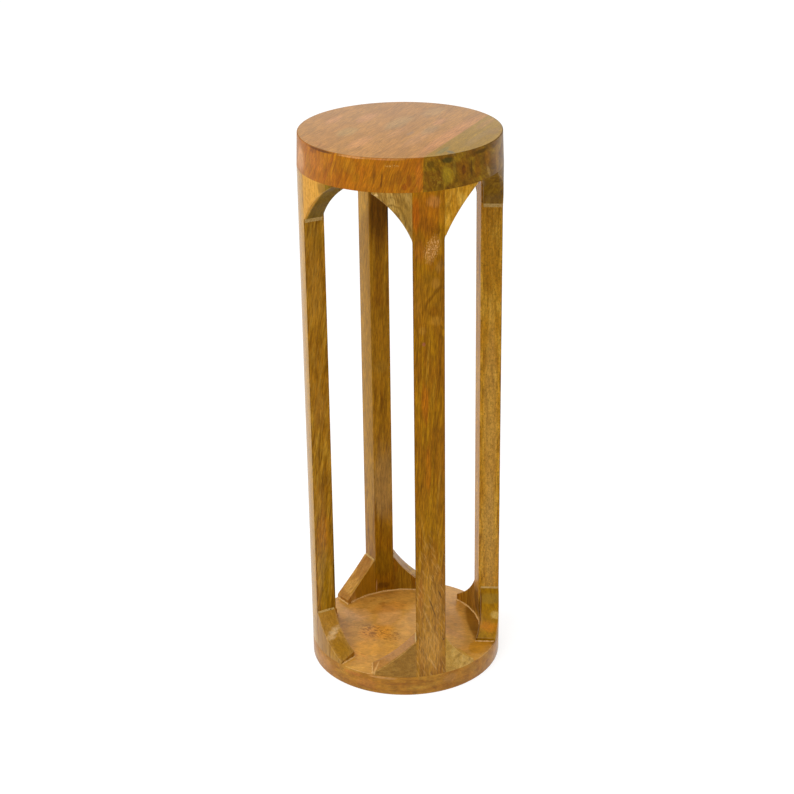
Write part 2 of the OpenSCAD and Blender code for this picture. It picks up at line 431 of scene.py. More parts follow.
def loft(name, rings, material, node=None, worn=None):
    """Closed piece through rings of points in millimetres, capped at both ends.
    Its last argument tells from the numbers of a ring and a point whether the face there is an edge or a
    ledge; those faces get a tint that is part wear and part painted highlight."""
    count = len(rings[0])
    points = [Vector(point) * MM for ring in rings for point in ring]
    faces = [tuple(range(count - 1, -1, -1)), tuple(range(len(points) - count, len(points)))]
    for low in range(0, len(points) - count, count):
        for index in range(count):
            after = (index + 1) % count
            faces.append((low + index, low + after, low + count + after, low + count + index))
    mesh = bpy.data.meshes.new(name)
    mesh.from_pydata(points, [], faces)
    if worn:
        marks = [0.0, 0.0]
        marks += [float(worn(ring, index)) for ring in range(len(rings) - 1) for index in range(count)]
        mesh.attributes.new("worn", "FLOAT", "FACE").data.foreach_set("value", marks)
    mesh.shade_smooth()
    mesh.set_sharp_from_angle(angle=math.radians(CREASE))
    mesh.materials.append(material)
    piece = bpy.data.objects.new(name, mesh)
    bpy.context.scene.collection.objects.link(piece)
    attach(piece, "root")
    if node:
        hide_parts(node)
    return piece


EASE_POINTS = 4
ARC_POINTS = 15
BORE_POINTS = 11


def rounded(corner, before, after, ease):
    """Points that round a corner of an outline off over a length of ease."""
    corner, before, after = Vector(corner), Vector(before), Vector(after)
    first = corner + (before - corner).normalized() * ease
    last = corner + (after - corner).normalized() * ease
    return [(1 - t) ** 2 * first + 2 * t * (1 - t) * corner + t * t * last for t in steps(EASE_POINTS)]


def leg_ring(turn, z, face_r, outer_ease, inner_ease):
    """Outline of a leg at one height: turned outside, leaning sides and flat or bored inner face."""
    def bored_point(y):
        return Vector((max(LEG_FACE_R, math.sqrt(face_r ** 2 - y * y)), y))

    def flip(point):
        return point[0], -point[1]

    half = LEG_INNER_W / 2
    inner_x = max(LEG_FACE_R, math.sqrt(face_r ** 2 - half ** 2))
    inner = (inner_x, half + (inner_x - LEG_FACE_R) * math.tan(LEG_LEAN))
    outer = (OUTER_R * math.cos(LEG_EDGE), OUTER_R * math.sin(LEG_EDGE))
    turned = [around(math.degrees(a), OUTER_R).to_2d() for a in steps(ARC_POINTS, -LEG_EDGE, LEG_EDGE)]
    bored = [bored_point(y) for y in steps(BORE_POINTS, inner[1], -inner[1])]
    outline = rounded(flip(outer), flip(inner), turned[1], outer_ease) + turned[1:-1]
    outline += rounded(outer, turned[-2], inner, outer_ease)
    outline += rounded(inner, outer, bored[1], inner_ease) + bored[1:-1]
    outline += rounded(flip(inner), bored[-2], flip(outer), inner_ease)
    spin = Matrix.Rotation(math.radians(turn), 2)
    return [tuple(spin @ point) + (z,) for point in outline]


# Heights of the rings of a leg: beside the boards, round the ledges of the brackets and between
RUNOUT_RINGS = 13
LEDGE_RISES = (-1.5, 0.5, 2, 4, 7)
SHAFT_FROM = 70
SHAFT_RINGS = 24
# Height over a ledge at which a leg's outer edge is rounded in full
EASE_RISE = 4


def make_leg(number, material):
    base_h = bracket_cut("base", number, "left")["height"]
    top_h = CUTS["top"]["height"]
    bottom, top = BASE_T, STAND_H - TOP_T
    heights = [bottom + h for h in steps(RUNOUT_RINGS, 0, RUNOUT_H)]
    heights += [bottom + base_h + h for h in LEDGE_RISES]
    heights += steps(SHAFT_RINGS, bottom + SHAFT_FROM, top - SHAFT_FROM)
    heights += [top - top_h - h for h in reversed(LEDGE_RISES)]
    heights += [top - h for h in steps(RUNOUT_RINGS, RUNOUT_H, 0)]
    rings = []
    for z in heights:
        from_board = min(z - bottom, top - z)
        face_r = BRACKET_R + (LEG_FACE_R - BRACKET_R) * min(1, from_board / RUNOUT_H)
        free = min(z - bottom - base_h, top - top_h - z)
        outer_ease = max(SOFT, min(1, free / EASE_RISE) * EASE)
        inner_ease = max(SOFT, min(1, from_board / RUNOUT_H) * EASE)
        rings.append(leg_ring(LEG_ANGLES[number], z, face_r, outer_ease, inner_ease))
    second = EASE_POINTS + ARC_POINTS - 2
    corners = [start + index for start in (0, second) for index in range(EASE_POINTS - 1)]
    shaft = range(RUNOUT_RINGS + 1, len(rings) - RUNOUT_RINGS - 1)
    name = "leg_%d" % number
    loft(name + "_body", rings, material, name,
         worn=lambda ring, index: index in corners and ring in shaft)


def bracket_cut(level, number, side):
    """Sizes of one bracket: the general ones, with its own in their place."""
    return dict(CUTS[level], **OWN_CUTS.get((level, number, side), {}))


def hand(side):
    """1 for the right side of a leg, -1 for the left."""
    return 1 if side == "right" else -1


def level_z(level, rise):
    """Height of a point that stands off the face of the base or the top by rise."""
    return BASE_T + rise if level == "base" else STAND_H - TOP_T - rise


def bracket_point(level, number, side, r, y, rise):
    """Point at radius r, at distance y from the side of a leg and at a height of rise on a board."""
    angle = math.asin((LEG_SIDE + y) / r) + LEG_LEAN
    return around(LEG_ANGLES[number] + math.degrees(angle) * hand(side), r, level_z(level, rise))


def facing(ring, level, side):
    """Ring of a bracket in the order that turns its faces outwards."""
    return ring if (side == "right") == (level == "base") else ring[::-1]


def end_cut(cut):
    """Direction of a bracket's blunt end and the distance of its plane from the middle of the stand."""
    end = LEG_EDGE + cut["reach"] / OUTER_R
    corner, slope = around(math.degrees(end), OUTER_R), end - (end - LEG_LEAN) * cut["end"]
    return slope, corner.y * math.cos(slope) - corner.x * math.sin(slope)


CURVE_POINTS = 31
# Distance of the last point of the curve from the end, as a share of the curve
END_GAP = 0.008


def make_bracket(level, number, side, material):
    """Sector of the turned ring, cut to the leaning side of its leg and hollowed by a cylinder."""
    cut = bracket_cut(level, number, side)
    end = LEG_EDGE + cut["reach"] / OUTER_R
    run = OUTER_R * math.sin(end - LEG_LEAN) - LEG_SIDE - LEDGE_W
    rise = cut["height"] - cut["toe"]
    chord = math.hypot(run, rise)
    off = math.sqrt(cut["curve"] ** 2 - chord ** 2 / 4)
    curve_y = LEDGE_W + run / 2 + off * rise / chord
    curve_z = (cut["height"] + cut["toe"]) / 2 + off * run / chord
    slope, cut_to = end_cut(cut)

    # Points across the bracket from the inside out, as radius and drop from the curve
    across = [(BRACKET_R, 0), (BRACKET_R, EASE), (BRACKET_R + 0.3 * EASE, 0.3 * EASE), (BRACKET_R + EASE, 0)]
    across += [(r, 0) for r in steps(5, BRACKET_R + 4, OUTER_R - 4)]
    across += [(OUTER_R - EASE, 0), (OUTER_R - 0.3 * EASE, 0.3 * EASE), (OUTER_R, EASE), (OUTER_R, 0)]
    last = len(across) - 1

    # Places from the leg to the end, as share of the ledge, share of the curve and drop from the curve
    places = [(0, 0, 0), (1, 0, 0.3), (1, 0, 0)]
    places += [(1, t, 0) for t in steps(CURVE_POINTS)[1:]] + [(1, 1, 0.5)]
    rings = []
    for ledge, share, drop in places:
        ring = []
        for index, (r, down) in enumerate(across):
            far = r * math.sin(slope + math.asin(cut_to / r) - LEG_LEAN) - LEG_SIDE
            gap = END_GAP if share == 1 and not drop else 0
            y = LEDGE_W * ledge + (far - LEDGE_W) * (share - gap)
            z = cut["height"] if share <= 0 else curve_z - math.sqrt(cut["curve"] ** 2 - (y - curve_y) ** 2)
            z = 0 if index in (0, last) else max(0.1, z - down - drop)
            ring.append(bracket_point(level, number, side, r, y, z))
        rings.append(facing(ring, level, side))

    # Rounded edges and ledge faces, which get the tint of wear and painted highlight
    edges = (1, 2, last - 3, last - 2)
    ends = (0, 1, len(rings) - 2, len(rings) - 1)
    name = "%s_bracket_%d_%s" % (level, number, side)
    loft(name + "_body", rings, material, name,
         worn=lambda ring, index: index in edges or ring in ends and 1 < index < last - 2)


def free_share(angle):
    """1 where the edge of a board stands free at an angle, 0 beside legs and brackets."""
    gap = 360
    for number, turn in LEG_ANGLES.items():
        for side in ("left", "right"):
            longest = max(bracket_cut(level, number, side)["reach"] for level in CUTS)
            reach = math.degrees(LEG_EDGE + longest / OUTER_R)
            away = ((angle - turn) * hand(side) + 180) % 360 - 180
            gap = min(gap, away - reach if away > 0 else gap)
            if 0 <= away <= reach:
                return 0
    return min(1, gap / 1.5)


RIM_STEPS = 5
BASE_STEPS = 480


def make_base(material):
    angles = [index * 360 / BASE_STEPS for index in range(BASE_STEPS)]
    rings = [[around(a, OUTER_R - RIM_R * (1 - math.sin(t)), RIM_R * (1 - math.cos(t))) for a in angles]
             for t in steps(RIM_STEPS, 0, math.pi / 2)]
    eases = [max(SOFT, BOARD_EASE * free_share(a)) for a in angles]
    for inward, down in ((0, 1), (0.3, 0.3), (1, 0)):
        rings.append([around(a, OUTER_R - inward * ease, BASE_T - down * ease)
                      for a, ease in zip(angles, eases)])
    loft("base_board_body", rings, material, "base_board",
         worn=lambda ring, index: ring >= len(rings) - 3)


def make_top(name, material, narrow):
    """One board of the top, from the glue line to the rim."""
    bottom = STAND_H - TOP_T
    upper_r = OUTER_R - TOP_TAPER
    profile = [(OUTER_R - TOP_TAPER * t, bottom + (TOP_T - RIM_R) * t) for t in steps(8)]
    profile += [(upper_r - RIM_R * (1 - math.cos(t)), STAND_H - RIM_R * (1 - math.sin(t)))
                for t in steps(RIM_STEPS, 0, math.pi / 2)[1:]]
    rings = []
    for r, z in profile:
        half = math.degrees(math.acos(SEAM_OFFSET / r))
        angles = steps(181, SEAM_ANGLE - half, SEAM_ANGLE + half) if narrow else \
            steps(321, SEAM_ANGLE + half, SEAM_ANGLE + 360 - half)
        rings.append([around(a, r, z) for a in angles])
    loft(name + "_body", rings, material, name, worn=lambda ring, index: ring >= len(rings) - 4)


# How deep a bead or a wedge sits in what it touches
SUNK = 0.05


def make_wedge(level, number, side, size, material):
    """Putty that fills the corner between a bracket's ledge and the side of its leg."""
    ledge = bracket_cut(level, number, side)["height"]
    rings = []
    for index, r in enumerate(steps(23, BRACKET_R + 0.8, OUTER_R - 0.8)):
        wide = LEDGE_W * (0.9 + 0.08 * math.sin(1.7 * index + number))
        tall = size * (1 + 0.12 * math.sin(2.3 * index + 2 * number))
        outline = ((-SUNK, -SUNK), (wide, -SUNK), (0.5 * wide, 0.42 * tall), (0.1 * wide, 0.85 * tall),
                   (-SUNK, tall))
        rings.append(facing([bracket_point(level, number, side, r, y, ledge + z) for y, z in outline],
                            level, side))
    loft("%s_putty_%d_%s" % (level, number, side), rings, material)


def make_bead(number, material):
    """Squeezed-out glue along the foot of a leg and its brackets, on the shelf."""
    left, right = [math.degrees(LEG_EDGE + bracket_cut("base", number, side)["reach"] / OUTER_R)
                   for side in ("left", "right")]
    rings = []
    for index, angle in enumerate(steps(121, LEG_ANGLES[number] - left, LEG_ANGLES[number] + right)):
        wide = 1.25 + 0.3 * math.sin(0.31 * index + number) + 0.15 * math.sin(1.1 * index)
        tall = 1.1 + 0.3 * math.sin(0.23 * index + 2 * number)
        outline = ((0.1, -SUNK), (-wide, -SUNK), (-0.4 * wide, 0.35 * tall), (-SUNK, tall), (0.1, tall))
        rings.append([around(angle, BRACKET_R + inward, BASE_T + rise) for inward, rise in outline])
    loft("base_glue_%d" % number, rings, material)


def make_end_bead(number, side, material):
    """Squeezed-out glue along the blunt end of a base bracket, on the shelf."""
    slope, cut_to = end_cut(bracket_cut("base", number, side))
    away = around(LEG_ANGLES[number] + hand(side) * (math.degrees(slope) + 90))
    rings = []
    for index, r in enumerate(steps(25, BRACKET_R - 0.4, OUTER_R - 1.4)):
        wide = 1.35 + 0.3 * math.sin(0.9 * index + number) + 0.15 * math.sin(2.3 * index)
        tall = 0.9 + 0.3 * math.sin(0.7 * index + 2 * number)
        outline = ((-0.1, -SUNK), (wide, -SUNK), (0.45 * wide, 0.4 * tall), (0.05, tall), (-0.1, tall))
        turn = LEG_ANGLES[number] + hand(side) * math.degrees(slope + math.asin(cut_to / r))
        foot = around(turn, r, BASE_T)
        rings.append(facing([foot + away * out + UP * rise for out, rise in outline], "base", side))
    loft("base_end_glue_%d_%s" % (number, side), rings, material)


def make_nail_mark(name, centre, size, material):
    """Filled nail hole: a low dome on a level face."""
    rings = [[Vector(centre) + around(turn, radius * size, rise * size) for turn in range(0, 360, 30)]
             for radius, rise in ((0.5, -0.1), (0.5, 0.02), (0.42, 0.08), (0.2, 0.12))]
    loft(name, rings, material)


# Heading of the top's grain in degrees, and directions along and across its glue line
GRAIN = SEAM_ANGLE - 90
seam_along = around(GRAIN)
seam_across = around(SEAM_ANGLE)
TOP_Z = STAND_H
# Radius at which the middle of a leg's side lies
SIDE_R = 92

make_camera()
make_world()
make_floor()
make_lamp("key", around(350, 1.1, 1.9), (0, 0, 0.35), 1.3, 20)

make_top("top_wide_board", wood(
    "top_wide_wood", seam_along, seam_across - 0.3 * UP, 1,
    dark=(152, 86, 1), mid=(174, 108, 3), light=(186, 120, 8), streak=(2.6, 60, 110),
    streak_span=(0.33, 0.67), drift=(168, 94, 1), drift_size=(22, 30, 70), fibre_size=(0.8, 9, 14),
    blotch=0.08, blotch_size=(8, 14, 26), pores=0.4, pore_size=(0.7, 4, 6), flat_tint=(164, 121, 65),
    flat_share=0.74, worn=0.5, worn_tint=(124, 84, 48), coat=0.52, gloss=0.3,
    patches=[
        on_flat(95, 54, TOP_Z, 190, 20, (194, 130, 84), 0.38, 0.4, heading=GRAIN),
        on_flat(60, 36, TOP_Z, 90, 18, (186, 134, 88), 0.35, 0.6, heading=GRAIN),
        on_flat(110, 30, TOP_Z, 46, 16, (146, 118, 78), 0.5, heading=GRAIN),
        on_flat(150, 45, TOP_Z, 34, 12, (186, 128, 84), 0.5, heading=GRAIN),
        on_flat(215, 20, TOP_Z, 70, 24, (160, 128, 80), 0.55, heading=GRAIN),
        on_flat(180, 68, TOP_Z, 50, 24, (166, 130, 80), 0.5, heading=GRAIN),
        on_flat(250, 52, TOP_Z, 50, 18, (184, 128, 82), 0.55, heading=GRAIN),
        on_flat(272, 74, TOP_Z, 40, 14, (190, 132, 84), 0.5, heading=GRAIN),
        on_flat(350, 60, TOP_Z, 60, 20, (190, 132, 80), 0.5, heading=GRAIN),
        on_flat(310, 52, TOP_Z, 44, 22, (158, 128, 76), 0.55, heading=GRAIN),
        on_flat(335, 92, TOP_Z, 34, 8, (150, 100, 50), 0.5, heading=60),
        on_flat(60, 20, TOP_Z, 20, 6, (146, 116, 90), 0.5, heading=GRAIN),
        on_flat(20, 12, TOP_Z, 60, 14, (178, 126, 74), 0.45, heading=GRAIN),
        # Pale patch on the rim: painted reflection
        on_side(318, 565, 30, 32, (226, 164, 108), 0.55, 0.3, depth=6),
        on_side(340, 583, 56, 3.4, (84, 42, 8), 0.8, 0.4),
        on_side(3, 583, 40, 3, (224, 164, 104), 0.5),
        on_side(22, 583, 50, 2.2, (208, 140, 84), 0.5),
        on_side(335, 580, 14, 6, (104, 56, 14)),
        on_side(338, 572, 30, 26, (192, 112, 34), 0.45, lean=-15),
        on_side(348, 569, 6, 44, (140, 66, 8), 0.5, lean=-24),
        on_side(356, 562, 4, 34, (124, 60, 4), 0.5, lean=-22),
        on_side(2, 574, 16, 20, (186, 122, 14), lean=-14),
        on_side(6, 562, 12, 18, (158, 104, 4), 0.5),
        on_side(1, 568, 4, 34, (136, 76, 6), 0.5, lean=-16),
        on_side(9, 566, 5, 30, (184, 104, 8), 0.5, lean=-10),
        on_side(16, 570, 4, 30, (122, 72, 6), lean=-4),
        on_side(20, 563, 2.4, 22, (92, 52, 4), 0.7, lean=-4),
        on_side(25.5, 577, 17, 3, (226, 176, 96), 0.8, 0.5, speck=1.1),
        on_side(29, 566, 10, 18, (134, 74, 4), 0.5),
        on_side(34.5, 563, 7, 18, (138, 68, 4)),
        on_side(32, 557, 7, 9, (140, 62, 4)),
        on_side(39.8, 567, 8, 36, (186, 106, 20), 0.75, 0.5),
        on_side(8, 557, 36, 8, (186, 110, 10), 0.5)]), False)
make_top("top_narrow_board", wood(
    "top_narrow_wood", seam_along, seam_across + 0.2 * UP, 2,
    dark=(100, 66, 2), mid=(134, 94, 4), light=(168, 126, 18), streak=(3.2, 12, 40), streak_span=(0.3, 0.7),
    drift=(122, 74, 4), drift_size=(14, 12, 30), fibre=0.2, fibre_size=(0.8, 4, 8), blotch_size=(5, 10, 24),
    flat_tint=(154, 119, 40), flat_share=0.82, worn=0.6, worn_tint=(70, 46, 8), coat=0.48, gloss=0.28,
    patches=[
        on_flat(60, 94, TOP_Z, 16, 8, (104, 98, 74), 0.7, 1.0),
        on_flat(58, 86, TOP_Z, 40, 9, (112, 108, 60), 0.5, heading=GRAIN),
        on_flat(95, 82, TOP_Z, 90, 12, (150, 118, 66), 0.5, heading=GRAIN),
        on_flat(112, 92, TOP_Z, 34, 12, (140, 106, 62), 0.5, heading=GRAIN),
        on_flat(130, 85, TOP_Z, 60, 12, (172, 124, 70), 0.5, heading=GRAIN),
        on_side(47, 571, 12, 24, (140, 106, 12), speck=2),
        on_side(50, 560, 18, 12, (166, 130, 30), 0.7, speck=1.8),
        on_side(46, 577, 12, 10, (96, 66, 4)),
        on_side(56, 579, 17, 7, (62, 58, 18), 0.75),
        on_side(55.5, 565, 15, 22, (168, 134, 24), 0.75),
        on_side(60, 571, 5, 22, (150, 116, 30)),
        on_side(66, 568, 20, 26, (146, 92, 2), 0.8, 0.6),
        on_side(66, 567, 11, 18, (118, 72, 4), 0.8, 0.5, rings=2),
        on_side(66, 567, 6, 12, (112, 60, 4), 0.8, 0.5),
        on_side(71.5, 567, 2.6, 22, (96, 58, 6), 0.7, 0.5),
        on_side(76, 566, 12, 28, (146, 92, 0), 0.8),
        on_side(80, 580, 30, 5, (84, 56, 2), 0.75, 0.4),
        on_side(85, 572, 14, 18, (158, 102, 2), 0.8),
        on_side(86, 558, 18, 5, (184, 142, 70), lean=-62),
        on_side(97, 566, 12, 30, (178, 128, 44), 0.5)]), True)
make_base(wood(
    "base_wood", around(112), UP, 3,
    dark=(150, 92, 12), mid=(178, 122, 32), light=(192, 140, 46), streak=(5, 9, 34), streak_span=(0.26, 0.74),
    drift=(168, 106, 16), drift_share=0.5, drift_size=(20, 20, 34), fibre=0.14, fibre_size=(1.4, 1.4, 5),
    blotch=0.1, blotch_size=(9, 9, 9), pores=0.25, flat_tint=(202, 148, 66), flat_share=0.65, worn=0.6,
    # Pale tint on the base's upper edge: glue line and painted highlight
    worn_tint=(216, 172, 110), gloss=0.22,
    patches=[
        on_flat(272, 62, BASE_T, 46, 34, (206, 150, 84), 0.65),
        on_flat(250, 30, BASE_T, 60, 34, (206, 150, 90), 0.55, heading=20),
        on_flat(283, 64, BASE_T, 16, 24, (170, 130, 70), 0.4, 1.2),
        on_flat(297, 74, BASE_T, 12, 16, (136, 102, 44), 0.6, 1.2, speck=5),
        on_flat(318, 34, BASE_T, 50, 40, (204, 134, 36), 0.65),
        on_flat(312, 40, BASE_T, 40, 26, (126, 76, 12), 0.75, 1.2, heading=60, speck=4),
        on_flat(318, 36, BASE_T, 60, 34, (120, 72, 10), 0.6, 1.0, heading=60, speck=2.2),
        on_flat(340, 22, BASE_T, 46, 26, (132, 82, 24), 0.6, 1.0, heading=60, speck=3),
        on_flat(330, 52, BASE_T, 26, 16, (146, 92, 22), 0.6, 1.0, heading=60, speck=3.4),
        on_flat(292, 58, BASE_T, 50, 30, (156, 108, 46), 0.32, 1.0, speck=3.4),
        on_flat(240, 62, BASE_T, 30, 60, (160, 100, 26), 0.6, 1.0, speck=6),
        on_flat(345, 62, BASE_T, 44, 44, (210, 146, 38)),
        on_flat(350, 78, BASE_T, 18, 30, (190, 112, 30), 0.5, 1.0, speck=3),
        on_flat(232, 46, BASE_T, 30, 60, (190, 122, 40)),
        on_flat(228, 76, BASE_T, 9, 50, (166, 108, 26), 0.5),
        on_flat(256.5, 92, BASE_T, 18, 11, (232, 190, 126), 0.9, 0.6),
        on_flat(332, 94, BASE_T, 14, 5, (220, 178, 112), 0.5),
        on_flat(133, 46, BASE_T, 40, 60, (160, 107, 10), 0.65),
        on_flat(105, 52, BASE_T, 60, 12, (182, 126, 60), 0.5, heading=75),
        # Dark strip on the shelf beside leg 2's foot: painted reflection of the leg
        on_flat(127, 87, BASE_T, 42, 130, (134, 86, 4), 0.85, 0.1),
        on_flat(92, 90, BASE_T, 26, 34, (180, 120, 18), 0.8, 0.2),
        on_flat(80, 76, BASE_T, 18, 34, (186, 128, 54), 0.5),
        on_side(57, 14, 22, 14, (188, 134, 66), 0.5),
        on_side(5, 10, 30, 16, (186, 116, 44), 0.55),
        on_side(25, 12, 40, 8, (156, 98, 22), 0.4),
        on_side(330, 12, 40, 18, (186, 130, 66), 0.55),
        on_side(48, 5, 60, 6, (164, 100, 20), 0.35),
        on_side(16, 20, 76, 3.6, (208, 152, 88), depth=1.6),
        on_side(356, 17.5, 34, 6, (186, 108, 40), 0.5, depth=1.6)]))

# Directions square to the growth rings of the legs
LEG_RINGS = {1: 135, 2: 116, 3: 137, 4: 328}
LEG_LOOKS = {
    1: dict(
        dark=(136, 86, 1), mid=(160, 106, 2), light=(177, 123, 8), streak=(2.6, 5, 60),
        streak_span=(0.33, 0.67), drift_size=(9, 9, 40), slant=3, fibre=0.34, fibre_size=(1.1, 1.1, 12),
        blotch_size=(4, 4, 22), pores=0.3, flecks=0.42, fleck_size=(1.7, 1.7, 12), fleck_slant=-22,
        fleck_zone=(150, 215), fleck_tint=(208, 156, 78),
        patches=[
            on_side(45, 530, 36, 64, (180, 100, 10), 0.5),
            on_side(38, 530, 9, 50, (182, 86, 4), 0.55, 0.5),
            on_side(48, 541, 18, 16, (194, 128, 58)),
            on_side(44, 520, 24, 20, (134, 78, 4), 0.55),
            on_side(49, 512, 14, 16, (120, 70, 2), speck=3),
            on_side(52, 526, 8, 24, (176, 116, 14), 0.5),
            on_side(40, 494, 14, 36, (152, 86, 16)),
            on_side(46.8, 493, 16, 34, (200, 138, 70), 0.35, lean=-24),
            on_side(47, 494, 19, 36, (226, 172, 104), 0.7, lean=-24, speck=1.3),
            on_side(51, 476, 10, 18, (158, 112, 44), 0.5, lean=-24),
            on_side(46, 462, 26, 30, (146, 98, 8), 0.55),
            on_side(53, 428, 26, 86, (122, 78, 0), 0.42, 0.35, rings=4),
            on_side(45, 440, 40, 74, (164, 110, 12), 0.62, 0.4),
            on_side(49, 459, 12, 16, (182, 126, 42), 0.5),
            on_side(49, 421, 16, 14, (180, 126, 36), 0.5),
            on_side(38.4, 434, 7, 26, (176, 118, 30), 0.5),
            on_side(41, 412, 10, 12, (188, 132, 40), 0.5),
            on_side(47.5, 431, 15, 15, (132, 80, 0), 0.7),
            on_side(49.9, 452.5, 5, 18, (116, 70, 0), 0.6, 0.9, lean=-42),
            on_side(45.1, 443, 5, 20, (116, 70, 0), 0.6, 0.9, lean=-40),
            on_side(42, 433, 5, 18, (120, 74, 0), 0.55, 0.9, lean=-18),
            on_side(45, 210, 36, 80, (178, 124, 12), 0.3),
            on_side(41.7, 398, 4.4, 5.6, (164, 92, 66), 0.75, 0.4),
            on_side(42.5, 335, 9, 62, (188, 104, 6)),
            on_side(47, 345, 6, 50, (186, 132, 20), 0.5, lean=-8),
            on_side(44, 262, 7, 80, (184, 104, 6), 0.5),
            on_side(48, 300, 8, 60, (132, 82, 2), 0.5, lean=-4),
            on_side(50, 220, 7, 50, (138, 86, 4), 0.5, lean=-6),
            # Paler towards the foot: painted bounce light from the floor
            on_side(45, 110, 34, 160, (190, 134, 46), 0.5),
            on_side(45, 52, 34, 70, (202, 146, 56), 0.5),
            on_side(39, 120, 7, 60, (176, 106, 26), 0.5),
            on_side(49, 142, 12, 10, (128, 80, 14), 0.5, speck=4),
            on_side(42, 92, 16, 16, (140, 88, 18), 0.5, speck=4),
            # Paler near the foot: painted bounce light from the floor
            on_side(44, 62, 24, 18, (190, 136, 56), 0.4),
            on_side(45, 150, 4, 80, (134, 86, 4), 0.5, 0.9, lean=10),
            on_side(41, 190, 3.4, 70, (196, 140, 40), 0.5, 0.9, lean=8),
            on_side(50, 240, 3.2, 80, (190, 136, 40), 0.5, 0.9, lean=-5),
            on_side(39.5, 250, 3.4, 100, (134, 86, 2), 0.5, 0.9, lean=-3),
            on_side(44, 380, 3.2, 80, (186, 132, 30), 0.5, 0.9, lean=-4),
            on_side(51, 370, 3.4, 70, (134, 84, 2), 0.5, 0.9, lean=-4),
            on_side(43, 90, 3, 44, (206, 156, 80), 0.5, 1.0, lean=20),
            on_side(48, 74, 2.6, 36, (148, 100, 26), 0.6, 0.9, lean=18),
            on_side(41, 48, 2.6, 30, (146, 98, 26), 0.6, 0.9, lean=24),
            on_side(46, 36, 2.6, 26, (212, 164, 92), 0.5, 1.0, lean=26),
            on_side(45.6, 105, 2, 38, (92, 60, 10), 0.75, 0.4, lean=17),
            on_side(50.5, 118, 1.6, 16, (78, 52, 10), 0.7, 0.4, lean=22),
            on_side(52.8, 63.4, 2, 2.2, (70, 44, 12), 0.9, 0.2)]),
    2: dict(
        dark=(158, 106, 14), mid=(200, 144, 36), light=(220, 167, 56), streak=(2.4, 4, 26),
        drift=(192, 132, 24), fibre=0.22, fibre_size=(1.5, 1.5, 3), blotch=0.05, blotch_size=(3, 3, 10),
        pores=0.5, pore_size=(1.3, 1.3, 2.6), coat=0.45,
        patches=[
            on_side(122.5, 500, 30, 60, (170, 112, 12), 0.55, radius=91),
            on_side(122.5, 130, 30, 180, (196, 150, 66), 0.55, radius=91),
            on_side(122.5, 250, 30, 60, (190, 138, 44), 0.4, radius=91),
            on_side(122.5, 260, 30, 330, (200, 154, 78), 0.42, 0.4, radius=91),
            on_side(131, 42, 34, 60, (88, 50, 2), 0.8, 0.3, radius=LEG_FACE_R, depth=3)]),
    3: dict(
        dark=(130, 84, 4), mid=(166, 114, 8), light=(190, 138, 26), streak_span=(0.3, 0.7),
        drift=(156, 102, 5), slant=2, fibre=0.26, coat=0.6,
        patches=[
            # Dark upper part of the inner face: painted shade under the top
            on_side(227, 500, 40, 160, (92, 54, 0), 0.7, 0.3, radius=LEG_FACE_R, depth=3),
            # Dark line along the inner face's edge: painted shadow line
            on_side(220, 500, 3, 150, (44, 20, 0), 0.8, 0.3, radius=79.6),
            on_side(227, 320, 40, 110, (176, 124, 18), 0.5, radius=LEG_FACE_R),
            on_side(227, 300, 24, 18, (172, 124, 30), radius=LEG_FACE_R),
            on_side(227, 160, 40, 110, (176, 132, 56), 0.72, radius=LEG_FACE_R),
            on_side(228, 60, 40, 44, (146, 104, 6), 0.75, 0.4, radius=LEG_FACE_R, depth=4),
            on_side(229.5, 30, 26, 13, (104, 66, 8), 0.75, 0.4, radius=LEG_FACE_R, depth=4),
            on_side(233.7, 31, 2, 24, (206, 160, 100), 0.8, 0.4, radius=80, depth=4),
            on_side(235, 300, 12, 500, (180, 132, 34), 0.7, 0.3, radius=SIDE_R, depth=20),
            on_side(235, 510, 12, 110, (220, 164, 46), 0.8, 0.4, radius=SIDE_R, depth=20)]),
    4: dict(
        dark=(134, 90, 8), mid=(168, 116, 18), light=(192, 142, 40), streak=(3.4, 6, 44),
        streak_span=(0.38, 0.62), drift=(160, 104, 8), slant=-7, fibre=0.28, flecks=0.26,
        fleck_size=(1.6, 1.6, 16), fleck_slant=-10, fleck_tint=(196, 152, 66),
        patches=[
            on_side(321, 440, 24, 130, (178, 126, 36), 0.55, radius=SIDE_R),
            on_side(321, 480, 24, 40, (156, 108, 16), 0.5, radius=SIDE_R),
            on_side(321, 300, 24, 60, (172, 116, 36), 0.5, radius=SIDE_R),
            on_side(321, 100, 24, 120, (164, 122, 6), 0.5, radius=SIDE_R),
            on_side(323, 110, 4, 90, (112, 84, 2), radius=SIDE_R, lean=-3),
            on_side(320.6, 120, 4, 130, (74, 54, 8), 0.7, 0.6, radius=80.2, depth=2.6),
            on_side(319.5, 90, 3, 60, (184, 146, 20), radius=SIDE_R),
            on_side(321, 160, 10, 60, (176, 108, 4), radius=SIDE_R),
            on_side(313, 300, 50, 700, (200, 148, 30), 0.6, 0.1, depth=2.5)])}
# Pale tint on the brackets' edges and ledges: part wear and glue, part painted highlight
BRACKET_PLAIN = dict(dark=(136, 90, 12), mid=(164, 114, 24), light=(184, 136, 40), worn_tint=(222, 182, 120),
                     worn=0.32)
